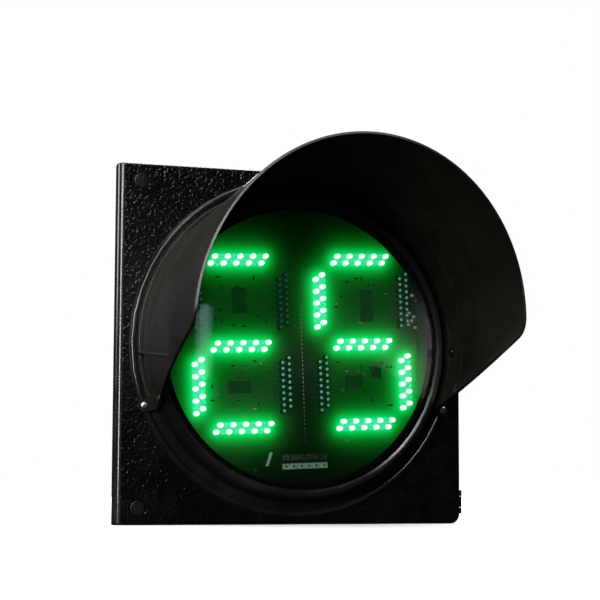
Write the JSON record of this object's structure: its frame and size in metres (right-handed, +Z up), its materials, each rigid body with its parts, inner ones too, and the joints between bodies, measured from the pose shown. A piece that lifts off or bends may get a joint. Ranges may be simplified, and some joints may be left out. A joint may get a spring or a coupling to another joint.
{
  "type": "pedestrian countdown signal head",
  "caption": "Square black signal head with a green LED digit display behind a clear domed lens, a long cutaway visor, and a hinged door with quarter-turn latches.",
  "frame": {"origin": "on the vertical mounting axis, on the underside of the bottom blanking cap, which the head stands on", "axes": "+Z up along the mounting axis, +X towards the hinge side, -Y out of the front through the lens and the visor"},
  "size_m": [0.3698, 0.3312, 0.355],
  "materials": {
    "housing_plastic": "moulded black polycarbonate, fine grain",
    "door_plastic": "black polycarbonate, glossy pebbled face and smooth collar",
    "visor_plastic": "black polycarbonate, satin, brownish in the light",
    "latch_plastic": "black glass-filled plastic",
    "cap_plastic": "moulded black plastic",
    "gland_plastic": "black polyamide",
    "seal_rubber": "black rubber, dull",
    "clear_lens": "clear polycarbonate, polished",
    "module_plastic": "black moulded pan",
    "led_board": "dark green solder mask over copper tracks",
    "control_board": "green solder mask",
    "transformer_iron": "varnished laminated iron",
    "spacer_brass": "nickelled brass",
    "terminal_plastic": "pale grey plastic",
    "plate_zinc": "zinc plated sheet",
    "pin_steel": "stainless, drawn",
    "cam_steel": "zinc plated",
    "clip_steel": "stainless spring sheet",
    "screw_steel": "stainless",
    "screw_black": "blackened steel",
    "lit_leds": "clear LED domes, lit green",
    "unlit_leds": "clear LED domes, unlit"
  },
  "bodies": {
    "housing": {"housing": "housing_plastic", "door_seal": "seal_rubber", "bottom_cap": "cap_plastic", "bottom_cap_seal": "seal_rubber", "bottom_cap_nut": "cap_plastic", "top_cap": "cap_plastic", "top_cap_seal": "seal_rubber", "top_cap_nut": "cap_plastic", "gland_body": "gland_plastic", "gland_seal": "seal_rubber", "gland_nut": "gland_plastic", "hinge_pin_lower": "pin_steel", "hinge_pin_upper": "pin_steel", "equipment_plate": "plate_zinc", "plate_screw_left": "screw_steel", "plate_screw_right": "screw_steel", "terminal_block": "terminal_plastic"},
    "door": {"door": "door_plastic", "visor": "visor_plastic", "lens_seal": "seal_rubber", "lens": "clear_lens", "module_cover": "module_plastic", "led_board": "led_board", "control_board": "control_board", "transformer": "transformer_iron", "board_spacer_1": "spacer_brass", "board_spacer_2": "spacer_brass", "board_spacer_3": "spacer_brass", "lens_clip_1": "clip_steel", "lens_clip_2": "clip_steel", "lens_clip_3": "clip_steel", "lens_clip_4": "clip_steel", "lens_clip_screw_1": "screw_steel", "lens_clip_screw_2": "screw_steel", "lens_clip_screw_3": "screw_steel", "lens_clip_screw_4": "screw_steel", "visor_screw_1": "screw_steel", "visor_screw_2": "screw_steel", "visor_screw_3": "screw_steel", "visor_side_screw_left": "screw_black", "visor_side_screw_right": "screw_black", "leds_left_a": "lit_leds", "leds_left_b": "unlit_leds", "leds_left_c": "unlit_leds", "leds_left_d": "lit_leds", "leds_left_e": "lit_leds", "leds_left_f": "unlit_leds", "leds_left_g": "lit_leds", "leds_right_a": "lit_leds", "leds_right_b": "unlit_leds", "leds_right_c": "lit_leds", "leds_right_d": "lit_leds", "leds_right_e": "unlit_leds", "leds_right_f": "lit_leds", "leds_right_g": "lit_leds"},
    "latch_upper": {"latch_upper": "latch_plastic", "latch_cam_upper": "cam_steel"},
    "latch_lower": {"latch_lower": "latch_plastic", "latch_cam_lower": "cam_steel"}
  },
  "joints": [
    {"name": "door_hinge", "type": "hinge", "parent": "housing", "child": "door", "pos_m": [0.1818, -0.0348, 0.1775], "axis": [0, 0, 1], "range_deg": [0, 115]},
    {"name": "latch_upper_turn", "type": "hinge", "parent": "door", "child": "latch_upper", "pos_m": [-0.161, -0.05, 0.3385], "axis": [0, 1, 0], "range_deg": [0, 90]},
    {"name": "latch_lower_turn", "type": "hinge", "parent": "door", "child": "latch_lower", "pos_m": [-0.161, -0.05, 0.0165], "axis": [0, -1, 0], "range_deg": [0, 90]}
  ]
}
